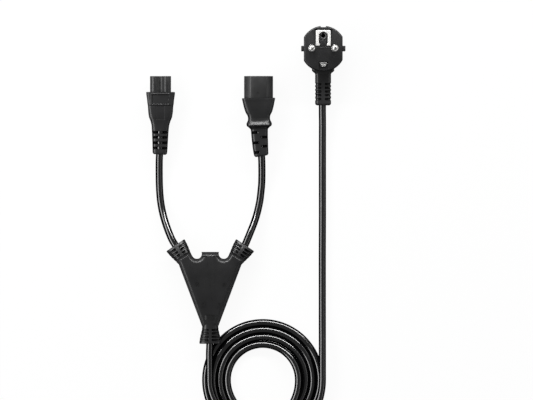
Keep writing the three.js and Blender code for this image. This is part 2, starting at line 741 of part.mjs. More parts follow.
function cloverNose() {
  const { tip, flange, lobeRadius } = cloverConnector;
  const spots = cloverSpots();
  const lobes = spots.map(([x, z]) => yHole(x, z, lobeRadius, flange + gap, tip, 24));
  const filler = new THREE.Shape();
  filler.moveTo(spots[0][0] - 2.4, -spots[0][1] + 2.4);
  filler.lineTo(spots[0][0] + 2.4, -spots[0][1] + 2.4);
  filler.lineTo(spots[2][0] + 1.6, -spots[2][1] + 2.6);
  filler.lineTo(spots[2][0], -spots[2][1] - 0.6);
  filler.lineTo(spots[1][0], -spots[1][1] - 0.6);
  filler.lineTo(spots[1][0] - 1.6, -spots[1][1] + 2.6);
  filler.closePath();
  const web = slab(filler, flange + gap, tip);
  web.rotateX(-Math.PI / 2);
  return joinAll([...lobes, solidOf(web)]);
}

function sleeveContact(x, z) {
  const profile = [
    [0, 149], [1.1, 149], [1.1, 154.5], [1.75, 155], [1.75, 173], [1.35, 173], [1.35, 156.5], [0, 156.5],
  ];
  const geometry = new THREE.LatheGeometry(profile.map((p) => new THREE.Vector2(...p)), 14);
  return geometry.translate(x, 0, z);
}

function cloverCoreRoutes() {
  const spots = cloverSpots();
  const { z } = cloverConnector;
  const [endX, endY] = leftTail[leftTail.length - 1];
  return coreOffsets().map(([side, up], i) => [
    [endX + side, endY + 0.4, z - up],
    [endX + side * 1.6, endY + 4.2, z - up * 1.2],
    [spots[i][0], 144.5, spots[i][1]],
    [spots[i][0], 148.7, spots[i][1]],
  ]);
}

function cloverRoot(grow) {
  const { x, z, flange } = cloverConnector;
  return box(x - 8 - grow, x + 8 + grow, 147 - grow, flange + 1, z - 5.2 - grow, z + 5.2 + grow);
}

const cloverTunnels = addCores('clover', cloverCoreRoutes());
let cloverBlock = cloverNose().add(cloverRoot(0));
cloverSpots().forEach(([x, z], i) => {
  place(`clover_contact_${coreNames[i]}`, sleeveContact(x, z), 'brass');
  cloverBlock = cloverBlock.subtract(joinAll([
    yHole(x, z, 1.4, 172, 178), yHole(x, z, 2.05, 154.2, 173.6, 14), yHole(x, z, 1.4, 145, 155, 10),
  ]));
});
place('clover_contact_block', cloverBlock, 'hardBlock');

function cloverShell() {
  const z = cloverConnector.z;
  const shell = loft([
    alongY(-41.7, 111.8, z, 5.0, 4.6, 4), alongY(-41.6, 113, z, 5.95, 5.3, 4),
    alongY(-41.4, 121, z, 6.4, 5.5, 4), alongY(-41.3, 130.7, z, 6.85, 5.8, 4),
    alongY(-41.2, 135.5, z, 7.2, 6.2, 4.5), alongY(-41.1, 139.3, z, 8.2, 6.8, 5),
    alongY(-41.1, 143, z, 9.6, 7.4, 5), alongY(-41.0, 146.7, z, 10.15, 7.6, 6),
    alongY(-41.0, 152.3, z, 10.5, 7.6, 6), alongY(-41.0, 152.6, z, 10.6, 8, 7),
    alongY(-41.0, 163.3, z, 11.8, 8, 7),
  ]);
  const recess = box(-48.2, -34.0, 153.7, 161.0, z + 7.4, z + 9);
  const windows = [130.0, 125.9, 121.4, 117.1].flatMap((y) => [-1, 1].map((side) => {
    const [low, high] = [-41.2 + side * 1.2, -41.2 + side * 4.7].sort((a, b) => a - b);
    return box(low, high, y - 0.8, y + 0.8, z - 9, z + 9);
  }));
  const cloverBore = bore([...leftTail].reverse());
  return shell.subtract(joinAll([cloverRoot(gap), recess, cloverBore, ...windows, ...cloverTunnels]));
}
place('clover_shell', cloverShell(), 'rubber');

// The coiled lead: a flat ring, four turns wide, a little lower on the side away from the block
function coilRing() {
  const { inner, outer, top, lowerShift } = coil;
  const soften = 2.4;
  const profile = [
    [inner, soften], [inner + soften, 0], [outer - soften, 0], [outer, soften], [outer, top - soften],
    [outer - soften, top], [inner + soften, top], [inner, top - soften], [inner, soften],
  ];
  const ring = new THREE.LatheGeometry(profile.map((p) => new THREE.Vector2(...p)), 36);
  ring.rotateX(Math.PI / 2);
  const spots = ring.attributes.position;
  for (let i = 0; i < spots.count; i += 1) {
    const radius = Math.hypot(spots.getX(i), spots.getY(i));
    const dip = Math.max(0, -spots.getY(i) / radius) ** 2;
    const scale = (radius + lowerShift * dip) / radius;
    spots.setXY(i, spots.getX(i) * scale, spots.getY(i) * scale);
  }
  return solidOf(ring.translate(coil.x, coil.y, 0));
}

place('cord_coil', coilRing(), 'jacket');
place('cord_block_run', cordTube(blockRun), 'jacket');
place('cord_plug_run', cordTube(plugRun), 'jacket');
place('cord_left_tail', cordTube(leftTail), 'jacket');
place('cord_right_tail', cordTube(rightTail), 'jacket');

export default object;
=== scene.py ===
import json
import math

import bmesh
import bpy
import numpy as np
from mathutils import Matrix, Vector

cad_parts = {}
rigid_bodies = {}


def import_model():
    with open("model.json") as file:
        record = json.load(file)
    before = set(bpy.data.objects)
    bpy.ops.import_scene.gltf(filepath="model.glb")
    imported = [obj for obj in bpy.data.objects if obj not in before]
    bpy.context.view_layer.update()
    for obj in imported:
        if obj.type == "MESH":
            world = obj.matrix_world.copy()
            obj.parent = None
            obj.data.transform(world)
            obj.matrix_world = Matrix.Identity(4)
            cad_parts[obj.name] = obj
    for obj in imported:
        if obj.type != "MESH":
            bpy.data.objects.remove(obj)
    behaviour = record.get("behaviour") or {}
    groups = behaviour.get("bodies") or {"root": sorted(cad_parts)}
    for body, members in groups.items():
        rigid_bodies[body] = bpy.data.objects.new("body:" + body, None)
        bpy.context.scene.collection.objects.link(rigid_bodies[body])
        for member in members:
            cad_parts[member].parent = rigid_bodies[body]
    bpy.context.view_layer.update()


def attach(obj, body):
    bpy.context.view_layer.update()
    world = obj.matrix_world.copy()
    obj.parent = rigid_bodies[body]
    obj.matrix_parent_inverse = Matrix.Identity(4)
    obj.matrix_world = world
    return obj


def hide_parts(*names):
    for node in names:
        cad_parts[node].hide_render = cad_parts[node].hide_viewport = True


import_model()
mm = 0.001
print("stage: frame loaded")

# camera: straight down on the lead as it lies on the table
cameraView = dict(aim=(46.4, 74.25), width=439.7, lens=400.0, sensor=36.0, level=10.0)


def makeCamera(v):
    data = bpy.data.cameras.new("camera")
    data.lens = v["lens"]
    data.sensor_width = v["sensor"]
    camera = bpy.data.objects.new("camera", data)
    distance = v["width"] * v["lens"] / v["sensor"] + v["level"]
    camera.location = (v["aim"][0] * mm, v["aim"][1] * mm, distance * mm)
    bpy.context.collection.objects.link(camera)
    bpy.context.scene.camera = camera


makeCamera(cameraView)


# shader helpers
def addNode(tree, kind, inputs=None, **settings):
    node = tree.nodes.new(kind)
    for name, value in settings.items():
        setattr(node, name, value)
    for name, value in (inputs or {}).items():
        if hasattr(value, "links"):
            tree.links.new(value, node.inputs[name])
        else:
            node.inputs[name].default_value = value
    return node


def startGroup(name, inputs, outputs):
    tree = bpy.data.node_groups.new(name, "ShaderNodeTree")
    for label, value in inputs.items():
        socket = tree.interface.new_socket(label, in_out="INPUT", socket_type="NodeSocketFloat")
        socket.default_value = value
    for label in outputs:
        tree.interface.new_socket(label, in_out="OUTPUT", socket_type="NodeSocketFloat")
    return tree, tree.nodes.new("NodeGroupInput"), tree.nodes.new("NodeGroupOutput")


def mathNode(tree, operation, a, b):
    node = addNode(tree, "ShaderNodeMath", {0: a, 1: b}, operation=operation)
    return node.outputs[0]


def rescale(tree, value, low, high, toLow, toHigh):
    names = {"Value": value, "From Min": low, "From Max": high, "To Min": toLow, "To Max": toHigh}
    return addNode(tree, "ShaderNodeMapRange", names).outputs["Result"]


def addNoise(tree, spots, size, detail, roughness=0.5):
    values = {"Vector": spots, "Scale": size, "Detail": detail, "Roughness": roughness}
    return addNode(tree, "ShaderNodeTexNoise", values).outputs["Fac"]


# moulding grain: fine pits, slow tone drift, and rubbed places
def makeMouldGrain():
    inputs = {"Grain Size": 2600.0, "Drift Size": 55.0, "Rub Size": 140.0, "Rub Amount": 0.35}
    tree, given, out = startGroup("mouldGrain", inputs, ["Height", "Drift", "Rub"])
    spots = addNode(tree, "ShaderNodeTexCoord").outputs["Object"]
    fine = addNoise(tree, spots, given.outputs["Grain Size"], 3.0)
    pits = addNode(tree, "ShaderNodeTexVoronoi", {"Vector": spots, "Scale": given.outputs["Grain Size"]})
    slow = addNoise(tree, spots, given.outputs["Drift Size"], 4.0)
    rub = addNoise(tree, spots, given.outputs["Rub Size"], 8.0, 0.7)
    height = mathNode(tree, "ADD", fine, mathNode(tree, "MULTIPLY", pits.outputs["Distance"], 0.5))
    rubbed = rescale(tree, rub, 0.52, 0.75, 0.0, 1.0)
    tree.links.new(height, out.inputs["Height"])
    tree.links.new(rescale(tree, slow, 0.3, 0.7, 0.0, 1.0), out.inputs["Drift"])
    tree.links.new(mathNode(tree, "MULTIPLY", rubbed, given.outputs["Rub Amount"]), out.inputs["Rub"])
    return tree


# plated metal: rolling marks, faint blotches and hairline scratches
def makePlateMarks():
    inputs = {"Mark Size": 900.0, "Stretch": 12.0, "Blotch Size": 160.0}
    tree, given, out = startGroup("plateMarks", inputs, ["Height", "Blotch", "Scratch"])
    spots = addNode(tree, "ShaderNodeTexCoord").outputs["Object"]
    squeeze = addNode(tree, "ShaderNodeCombineXYZ", {"X": given.outputs["Stretch"], "Y": 1.0, "Z": 1.0})
    drawn = addNode(tree, "ShaderNodeVectorMath", {0: spots, 1: squeeze.outputs[0]}, operation="MULTIPLY")
    marks = addNoise(tree, drawn.outputs[0], given.outputs["Mark Size"], 4.0)
    blotch = addNoise(tree, spots, given.outputs["Blotch Size"], 5.0)
    tree.links.new(marks, out.inputs["Height"])
    tree.links.new(rescale(tree, blotch, 0.35, 0.7, 0.0, 1.0), out.inputs["Blotch"])
    tree.links.new(rescale(tree, marks, 0.62, 0.72, 0.0, 1.0), out.inputs["Scratch"])
    return tree


mouldGrain = makeMouldGrain()
plateMarks = makePlateMarks()

# edge: how far a face turns from the view before its highlight fades, and where it's gone
bumpDepth = 0.0001
wearOnRoughness = 0.12
plasticLooks = {
    "rubber": dict(dark=(0.0110, 0.0110, 0.0115), pale=(0.0150, 0.0150, 0.0156), rough=(0.30, 0.37),
                   specular=0.64, bump=0.035, grain=3600.0, drift=60.0, rub=0.45, edge=(0.20, 0.40)),
    "jacket": dict(dark=(0.0016, 0.0016, 0.0018), pale=(0.0026, 0.0026, 0.0029), rough=(0.12, 0.17),
                   specular=1.00, bump=0.006, grain=3600.0, drift=35.0, rub=0.25, edge=(0.11, 0.27), coat=1.0,
                   coatRough=0.12),
    "hardBlock": dict(dark=(0.0042, 0.0042, 0.0045), pale=(0.0062, 0.0062, 0.0066), rough=(0.34, 0.42),
                      specular=0.85, bump=0.015, grain=3600.0, drift=80.0, rub=0.35, edge=(0.34, 0.60)),
    "coreBrown": dict(dark=(0.085, 0.030, 0.012), pale=(0.120, 0.045, 0.020), rough=(0.35, 0.45),
                      specular=0.45, bump=0.05, grain=2500.0, drift=90.0, rub=0.2),
    "coreBlue": dict(dark=(0.018, 0.070, 0.290), pale=(0.030, 0.100, 0.360), rough=(0.35, 0.45),
                     specular=0.45, bump=0.05, grain=2500.0, drift=90.0, rub=0.2),
    "coreGreen": dict(dark=(0.120, 0.280, 0.025), pale=(0.180, 0.360, 0.040), rough=(0.35, 0.45),
                      specular=0.45, bump=0.05, grain=2500.0, drift=90.0, rub=0.2),
}
metalLooks = {
    "nickel": dict(bright=(0.90, 0.90, 0.89), dull=(0.76, 0.75, 0.73), rough=(0.14, 0.28), bump=0.05),
    "stamped": dict(bright=(0.95, 0.95, 0.94), dull=(0.84, 0.83, 0.81), rough=(0.36, 0.48), bump=0.06,
                    metal=0.45),
    "spring": dict(bright=(0.34, 0.34, 0.34), dull=(0.24, 0.24, 0.23), rough=(0.34, 0.46), bump=0.05),
    "brass": dict(bright=(0.72, 0.54, 0.24), dull=(0.50, 0.36, 0.15), rough=(0.22, 0.42), bump=0.08),
}


def startMaterial(name):
    material = bpy.data.materials.new(name)
    material.use_nodes = True
    tree = material.node_tree
    return material, tree, tree.nodes["Principled BSDF"]


def mixColours(tree, factor, first, second):
    node = addNode(tree, "ShaderNodeMix", {0: factor, 6: (*first, 1.0), 7: (*second, 1.0)}, data_type="RGBA")
    return node.outputs[2]


def addBump(tree, shader, height, strength):
    values = {"Height": height, "Strength": strength, "Distance": bumpDepth}
    tree.links.new(addNode(tree, "ShaderNodeBump", values).outputs["Normal"], shader.inputs["Normal"])


def makePlastic(name, v):
    material, tree, shader = startMaterial(name)
    grain = addNode(tree, "ShaderNodeGroup", node_tree=mouldGrain)
    grain.inputs["Grain Size"].default_value = v["grain"]
    grain.inputs["Drift Size"].default_value = v["drift"]
    grain.inputs["Rub Amount"].default_value = v["rub"]
    drift = grain.outputs["Drift"]
    tree.links.new(mixColours(tree, drift, v["dark"], v["pale"]), shader.inputs["Base Color"])
    rough = mathNode(tree, "SUBTRACT", rescale(tree, drift, 0.0, 1.0, *v["rough"]),
                     mathNode(tree, "MULTIPLY", grain.outputs["Rub"], wearOnRoughness))
    tree.links.new(rough, shader.inputs["Roughness"])
    if "edge" in v:
        facing = addNode(tree, "ShaderNodeLayerWeight", {"Blend": 0.5}).outputs["Facing"]
        shine = rescale(tree, facing, *v["edge"], v["specular"], 0.0)
        tree.links.new(shine, shader.inputs["Specular IOR Level"])
        if "coat" in v:
            gloss = rescale(tree, facing, *v["edge"], v["coat"], 0.0)
            tree.links.new(gloss, shader.inputs["Coat Weight"])
            shader.inputs["Coat Roughness"].default_value = v["coatRough"]
    else:
        shader.inputs["Specular IOR Level"].default_value = v["specular"]
    addBump(tree, shader, grain.outputs["Height"], v["bump"])
    return material


def makeMetal(name, v):
    material, tree, shader = startMaterial(name)
    marks = addNode(tree, "ShaderNodeGroup", node_tree=plateMarks)
    blotch = marks.outputs["Blotch"]
    tree.links.new(mixColours(tree, blotch, v["bright"], v["dull"]), shader.inputs["Base Color"])
    worn = mathNode(tree, "ADD", rescale(tree, blotch, 0.0, 1.0, *v["rough"]),
                    mathNode(tree, "MULTIPLY", marks.outputs["Scratch"], wearOnRoughness))
    tree.links.new(worn, shader.inputs["Roughness"])
    shader.inputs["Metallic"].default_value = v.get("metal", 1.0)
    addBump(tree, shader, marks.outputs["Height"], v["bump"])
    return material


looks = {name: makePlastic(name, v) for name, v in plasticLooks.items()}
looks.update({name: makeMetal(name, v) for name, v in metalLooks.items()})
print("stage: materials made")


# pieces
def finishPiece(piece, look, replaced=()):
    piece.data.materials.clear()
    piece.data.materials.append(looks[look])
    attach(piece, "root")
    if replaced:
        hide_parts(*replaced)
    return piece


def meshPiece(name, points, faces, look, replaced=(), sharp=35.0):
    mesh = bpy.data.meshes.new(name)
    mesh.from_pydata([tuple(np.array(p) * mm) for p in points], [], faces)
    build = bmesh.new()
    build.from_mesh(mesh)
    bmesh.ops.remove_doubles(build, verts=build.verts, dist=2e-6)
    bmesh.ops.recalc_face_normals(build, faces=build.faces)
    build.to_mesh(mesh)
    build.free()
    mesh.shade_smooth()
    mesh.set_sharp_from_angle(angle=math.radians(sharp))
    piece = bpy.data.objects.new(name, mesh)
    bpy.context.collection.objects.link(piece)
    return finishPiece(piece, look, replaced)


def smoothstep(low, high, value):
    t = np.clip((np.asarray(value, float) - low) / (high - low), 0.0, 1.0)
    return t * t * (3 - 2 * t)


def throughPoints(points, step):
    # a centripetal spline through the given points, sampled every step millimetres
    p = np.array(points, float)
    p = np.vstack([2 * p[0] - p[1], p, 2 * p[-1] - p[-2]])
    out = []
    for a, b, c, d in zip(p[:-3], p[1:-2], p[2:-1], p[3:]):
        gaps = [max(np.linalg.norm(gap), 1e-6) ** 0.5 for gap in (b - a, c - b, d - c)]
        k0, k1, k2, k3 = np.cumsum([0.0, *gaps])
        count = max(2, int(round(np.linalg.norm(c - b) / step)))
        for t in np.linspace(k1, k2, count, endpoint=False):
            a1 = (k1 - t) / (k1 - k0) * a + (t - k0) / (k1 - k0) * b
            a2 = (k2 - t) / (k2 - k1) * b + (t - k1) / (k2 - k1) * c
            a3 = (k3 - t) / (k3 - k2) * c + (t - k2) / (k3 - k2) * d
            b1 = (k2 - t) / (k2 - k0) * a1 + (t - k0) / (k2 - k0) * a2
            b2 = (k3 - t) / (k3 - k1) * a2 + (t - k1) / (k3 - k1) * a3
            out.append((k2 - t) / (k2 - k1) * b1 + (t - k1) / (k2 - k1) * b2)
    out.append(p[-2])
    return np.array(out)


def eased(keys, values, at):
    # values between keyed places, without overshoot
    keys, values = np.array(keys, float), np.array(values, float)
    slopes = np.diff(values) / np.diff(keys)
    tangents = np.zeros(len(keys))
    for i in range(1, len(keys) - 1):
        before, after = slopes[i - 1], slopes[i]
        if before * after > 0:
            tangents[i] = 2 * before * after / (before + after)
    tangents[0], tangents[-1] = slopes[0], slopes[-1]
    i = np.clip(np.searchsorted(keys, at) - 1, 0, len(keys) - 2)
    width = keys[i + 1] - keys[i]
    t = (at - keys[i]) / width
    return ((2 * t**3 - 3 * t**2 + 1) * values[i] + (t**3 - 2 * t**2 + t) * width * tangents[i]
            + (-2 * t**3 + 3 * t**2) * values[i + 1] + (t**3 - t**2) * width * tangents[i + 1])


# leads
leadSizes = dict(radius=3.0, step=1.0, roundness=10)
leftTail = [
    (-17.6, 20.4, 10), (-23.2, 28.7, 10), (-28.8, 37.0, 10), (-31.6, 41.6, 9.8), (-34.3, 47.9, 8.7),
    (-36.7, 54.5, 6.9), (-38.7, 61.1, 5.0), (-40.2, 67.7, 3.6), (-41.2, 74.3, 3.1), (-41.8, 80.9, 3.2),
    (-42.1, 87.5, 3.9), (-42.2, 94.1, 5.1), (-42.2, 100.7, 6.5), (-42.1, 107.3, 7.7),
    (-41.9, 111.8, 8.0), (-41.6, 120.0, 8.0), (-41.4, 128.0, 8.0), (-41.3, 133.0, 8.0),
]
rightTail = [
    (17.6, 20.4, 10), (23.2, 28.7, 10), (28.6, 37.0, 10), (30.6, 41.6, 9.8), (33.2, 47.9, 8.7),
    (35.8, 54.5, 6.9), (38.0, 61.1, 5.0), (39.7, 67.7, 3.6), (41.0, 74.3, 3.1), (41.8, 80.9, 3.5),
    (42.4, 87.5, 4.9), (42.6, 94.1, 6.8), (42.6, 100.7, 8.6), (42.5, 106.5, 9.8),
    (42.3, 110.4, 10), (41.5, 120.0, 10), (40.7, 130.0, 10), (40.5, 133.0, 10),
]
blockRun = [
    (0, -20, 10), (0, -32, 10), (-0.3, -44.3, 10), (-0.6, -52, 9.8), (-0.6, -60, 9.45),
    (-0.6, -67, 9.3), (-0.6, -74.3, 9.3),
]
plugRun = [
    (92.5, -74.3, 9.3), (92.5, -66, 9.3), (92.5, -57, 9.2), (92.5, -48, 8.2), (92.5, -38, 6.1),
    (92.5, -28, 4.2), (92.5, -17, 3.15), (92.5, 0, 3.1), (92.5, 30, 3.1), (92.6, 60, 3.1),
    (92.6, 90, 3.1), (92.6, 112, 3.2), (92.6, 126, 4.6), (92.6, 138, 6.6), (92.5, 147, 7.45),
    (92.5, 152.4, 7.5), (92.5, 164, 7.5), (92.8, 176.6, 7.5),
]
coilSizes = dict(
    x=43.4, y=-74.3, first=29.4, pitch=5.94, turns=4, start=44.0, last=49.1, over=9.3, floor=3.1, samples=100,
)


def coilTurns(v):
    # half turns: over the coil, then each turn flat beside the last, then up over the outer one
    points = []
    halves = 2 * v["turns"] + 1
    for half in range(halves):
        for share in np.arange(0.0, 1.0, 1 / v["samples"]):
            angle = math.pi * (1 + half + share)
            shift = float(smoothstep(0, 1, share))
            level = v["floor"]
            turn = half // 2
            if half == 0:
                radius = v["start"] + (v["first"] - v["start"]) * shift
                level = v["over"]
            elif half == halves - 1:
                radius = v["first"] + v["pitch"] * (v["turns"] - 1 + shift)
                spare = v["last"] - v["first"] - v["pitch"] * v["turns"]
                radius += spare * float(smoothstep(0.5, 1.0, share))
                level += (v["over"] - level) * float(smoothstep(0.3, 0.85, share))
            elif half % 2 == 1:
                radius = v["first"] + v["pitch"] * turn
                if half == 1:
                    level = v["over"] + (level - v["over"]) * float(smoothstep(0.0, 0.8, share))
            else:
                radius = v["first"] + v["pitch"] * (turn - 1 + shift)
            points.append((v["x"] + radius * math.cos(angle), v["y"] + radius * math.sin(angle), level))
    return np.array(points)


def leadPiece(name, path, replaced):
    curve = bpy.data.curves.new(name, "CURVE")
    curve.dimensions = "3D"
    spline = curve.splines.new("POLY")
    spline.points.add(len(path) - 1)
    for spot, place in zip(spline.points, path):
        spot.co = (*(place * mm), 1.0)
    curve.bevel_depth = leadSizes["radius"] * mm
    curve.bevel_resolution = leadSizes["roundness"]
    curve.use_fill_caps = True
    piece = bpy.data.objects.new(name, curve)
    bpy.context.collection.objects.link(piece)
    return finishPiece(piece, "jacket", replaced)


def pathLength(path):
    return float(np.sum(np.linalg.norm(np.diff(path, axis=0), axis=1)))


def makeLeads():
    step = leadSizes["step"]
    runs = [throughPoints(blockRun, step)[:-1], coilTurns(coilSizes), throughPoints(plugRun, step)]
    mainNodes = ("cord_block_run", "cord_coil", "cord_plug_run")
    routes = {
        "lead_main": (np.vstack(runs), mainNodes, (-0.3, -44.3, 10), "coiled"),
        "lead_left_tail": (throughPoints(leftTail, step), ("cord_left_tail",), (-28.8, 37.0, 10), "loose"),
        "lead_right_tail": (throughPoints(rightTail, step), ("cord_right_tail",), (28.6, 37.0, 10), "loose"),
    }
    for name, (path, replaced, exitSpot, lay) in routes.items():
        piece = leadPiece(name, path, replaced)
        print("lead", name, round(pathLength(path)), "mm")


makeLeads()
print("stage: leads laid")


# lofted mouldings: rounded sections along a straight or gently bent line
def ringSides(rings, around):
    return [(low + j, low + (j + 1) % around, low + around + (j + 1) % around, low + around + j)
            for low in range(0, (rings - 1) * around, around) for j in range(around)]


def ringCaps(rings, around):
    return [tuple(range(around - 1, -1, -1)), tuple(range((rings - 1) * around, rings * around))]


def loftMesh(line, keys, around=96, cut=None):
    # line gives centre and heading for each place; keys are (place, half side, half up, power)
    places = [k[0] for k in keys]
    at = np.unique(np.concatenate([np.arange(places[0], places[-1], line["step"]), places]))
    halfSide, halfUp, power = (eased(places, [k[i] for k in keys], at) for i in (1, 2, 3))
    points = []
    for i, place in enumerate(at):
        centre, heading = line["at"](place)
        side = np.array([heading[1], -heading[0], 0.0])
        out, up = roundedSection(halfSide[i], halfUp[i], power[i], around)
        if cut:
            out, up = cut(place, out, up)
        ring = np.array(centre)[None, :] + out[:, None] * side[None, :]
        ring[:, 2] += up
        points.append(ring)
    return np.vstack(points), ringSides(len(at), around) + ringCaps(len(at), around)


def roundedSection(halfSide, halfUp, power, around):
    # points evenly spaced round a superellipse, from the top
    angle = np.linspace(0, 2 * math.pi, 1441)
    c, s = np.cos(angle), np.sin(angle)
    out = np.sign(s) * np.abs(s) ** (2 / power) * halfSide
    up = np.sign(c) * np.abs(c) ** (2 / power) * halfUp
    run = np.concatenate([[0.0], np.cumsum(np.hypot(np.diff(out), np.diff(up)))])
    even = np.linspace(0, run[-1], around, endpoint=False)
    return np.interp(even, run, out), np.interp(even, run, up)


def straight(end, heading, level, step=0.3):
    heading = np.array(heading) / np.linalg.norm(heading)

    def at(back):
        return (end[0] - heading[0] * back, end[1] - heading[1] * back, level), heading
    return {"at": at, "step": step}


def rowsOf(place, rows, half, soft):
    return max((1 - float(smoothstep(half - soft, half + soft, abs(place - row)))) for row in rows)


def grooveCut(rows, half, spine, depth, sideDepth, soft=0.25):
    # grooves on both faces, with a plain spine down the middle
    def cut(place, out, up):
        amount = rowsOf(place, rows, half, soft) * smoothstep(spine, spine + 0.5, np.abs(out))
        sink = depth * smoothstep(0.2, 0.7, np.abs(up) / max(np.abs(up).max(), 1e-6)) * amount
        pinch = sideDepth * amount * smoothstep(0.6, 1.0, np.abs(out) / max(np.abs(out).max(), 1e-6))
        return out - np.sign(out) * pinch, up - np.sign(up) * sink
    return cut


# Y block
blockSizes = dict(
    thickness=20.0, middle=10.0, humpY=31.35, scallop=(11.1, 29.9), scallopRadius=4.2, shoulder=(26.0, 21.5),
    rootOuter=(29.0, 24.6), rootInner=(17.4, 34.1), narrow=(6.5, -30.4), slope=42.0, ridgeRadius=3.4,
    slopeLength=1.56, cornerRadius=1.6, thin=4.0, thinFrom=(-16.0, -30.4), exit=(28.8, 37.0), tilt=34.0,
    tailEnd=(0.0, -44.3), rows=(2.9, 5.7, 8.5, 11.3),
    groove=dict(half=0.72, spine=1.25, depth=2.6, sideDepth=0.15, soft=0.3),
    mouth=[(-0.02, 8.55, 4.2, 2.3), (0.4, 8.95, 4.6, 2.3)],
    sideRoot=[(14.5, 6.6, 7.4, 3.0), (21.5, 5.0, 7.4, 3.0)],
    tailRoot=[(14.5, 6.6, 5.9, 3.0), (19.5, 6.4, 7.1, 3.4), (23.5, 6.2, 8.5, 3.6)],
    # dimples: where the dark discs that paint the dimples' shade sit, and the discs' rings (radius share,
    # rise)
    dimples=((-10.9, 5.4), (11.3, 5.0), (-6.1, -11.3), (7.7, -11.7)),
    dimpleShadeRings=((1.0, 0.0), (1.0, 0.03), (0.5, 0.03)),
)


def shieldOutline(v):
    cx, cy = v["scallop"]
    rise = math.asin((v["humpY"] - cy) / v["scallopRadius"])
    lead = math.radians(25)
    arc = [(cx + v["scallopRadius"] * math.cos(a), cy + v["scallopRadius"] * math.sin(a))
           for a in np.linspace(-lead, -math.pi - rise, 28)]
    right = [(v["narrow"][0], v["narrow"][1]), v["shoulder"], v["rootOuter"], v["rootInner"], *arc]
    top = [(x, v["humpY"]) for x in np.linspace(arc[-1][0] - 0.6, -arc[-1][0] + 0.6, 12)]
    left = [(-x, y) for x, y in reversed(right)]
    return np.array(right + top + left)


def insetOutline(points, distance, cap):
    before, after = np.roll(points, 1, axis=0), np.roll(points, -1, axis=0)
    first, second = points - before, after - points
    normals = [np.stack([-e[:, 1], e[:, 0]], axis=1) / np.linalg.norm(e, axis=1)[:, None]
               for e in (first, second)]
    middle = normals[0] + normals[1]
    middle /= np.linalg.norm(middle, axis=1)[:, None]
    moved = points + middle * (distance / np.sum(middle * normals[0], axis=1))[:, None]
    moved[:, 1] = np.minimum(moved[:, 1], cap - distance)
    return moved


def bevelProfile(v, steps=9):
    # (inset, height below the face) over a soft ridge, down the slope and round to the side wall
    slope = math.radians(v["slope"])
    ridge, length, corner = v["ridgeRadius"], v["slopeLength"], v["cornerRadius"]
    inset = ridge * math.sin(slope) + length * math.cos(slope) + corner * (1 - math.sin(slope))
    path = [(inset - ridge * math.sin(a), ridge * (1 - math.cos(a))) for a in np.linspace(0, slope, steps)]
    low = ridge * (1 - math.cos(slope)) + length * math.sin(slope)
    path += [(corner * (1 - math.sin(a)), low + corner * (math.cos(slope) - math.cos(a)))
             for a in np.linspace(slope, math.pi / 2, steps)]
    return path


def makeShield(v):
    outline = shieldOutline(v)
    profile = bevelProfile(v)
    top = [(v["thickness"] - drop, inset) for inset, drop in profile]
    levels = top + [(v["thickness"] - z, inset) for z, inset in reversed(top)]
    rings = []
    for z, inset in levels:
        ring = insetOutline(outline, inset, v["humpY"])
        lift = v["thin"] * smoothstep(*v["thinFrom"], ring[:, 1]) * (1 if z < v["middle"] else -1)
        height = z + lift * abs(z - v["middle"]) / v["middle"]
        rings.append(np.column_stack([ring, height]))
    count = len(outline)
    return np.vstack(rings), ringSides(len(rings), count) + ringCaps(len(rings), count)


def joinParts(parts):
    points, faces, start = [], [], 0
    for spots, corners in parts:
        points.append(np.asarray(spots, float))
        faces += [tuple(i + start for i in face) for face in corners]
        start += len(spots)
    return np.vstack(points), faces


def makeBlock(v):
    tilt = math.radians(v["tilt"])
    ends = [((-v["exit"][0], v["exit"][1]), (-math.sin(tilt), math.cos(tilt))),
            (v["exit"], (math.sin(tilt), math.cos(tilt))), (v["tailEnd"], (0.0, -1.0))]
    cut = grooveCut(v["rows"], **v["groove"])
    boots = []
    for (end, heading), root in zip(ends, (v["sideRoot"], v["sideRoot"], v["tailRoot"])):
        line = straight(end, heading, v["middle"], 0.16)
        boots.append(loftMesh(line, v["mouth"] + root, around=140, cut=cut))
    meshPiece("block_boots", *joinParts(boots), "rubber", sharp=32.0)
    meshPiece("block_moulding", *makeShield(v), "rubber", ("splitter_body",), sharp=28.0)


def makeDimpleShadeDiscs(v):
    # four small dark discs, painted shade in place of the dimples' hollows, that stand just proud of the face
    around, rings = 20, v["dimpleShadeRings"]
    faces = ringSides(len(rings), around) + ringCaps(len(rings), around)[1:]
    discs = []
    for x, y in v["dimples"]:
        points = [(*spot, v["thickness"] + rise) for radius, rise in rings
                  for spot in circleOutline(x, y, radius, around)]
        discs.append((points, faces))
    meshPiece("block_dimples", *joinParts(discs), "jacket", sharp=30.0)


# closed solids, and boolean cuts on them
noCap = 1e6  # higher than any outline, so that nothing is cut off


def prism(outline, zLow, zHigh, bevel=0.0, steps=4):
    outline = np.asarray(outline, float)
    rings = [(zLow, 0.0), (zHigh, 0.0)]
    if bevel:
        low = [(zLow + bevel * (1 - math.cos(t)), bevel * (1 - math.sin(t)))
               for t in np.linspace(0, math.pi / 2, steps + 1)]
        rings = low + [(zLow + zHigh - z, inset) for z, inset in reversed(low)]
    points, count = [], len(outline)
    for z, inset in rings:
        ring = insetOutline(outline, inset, noCap) if inset else outline
        points += [(x, y, z) for x, y in ring]
    return np.array(points), ringSides(len(rings), count) + ringCaps(len(rings), count)


def boxMesh(low, high):
    outline = [(low[0], low[1]), (high[0], low[1]), (high[0], high[1]), (low[0], high[1])]
    return prism(outline, low[2], high[2])


def roundOutline(xLow, xHigh, yLow, yHigh, radius, steps=5):
    outline = []
    corners = ((xHigh - radius, yHigh - radius, 0), (xLow + radius, yHigh - radius, 90),
               (xLow + radius, yLow + radius, 180), (xHigh - radius, yLow + radius, 270))
    for x, y, start in corners:
        for a in np.radians(np.linspace(start, start + 90, steps)):
            outline.append((x + radius * math.cos(a), y + radius * math.sin(a)))
    return outline


def roundBox(low, high, radius, steps=6):
    return prism(roundOutline(low[0], high[0], low[1], high[1], radius, steps), low[2], high[2])


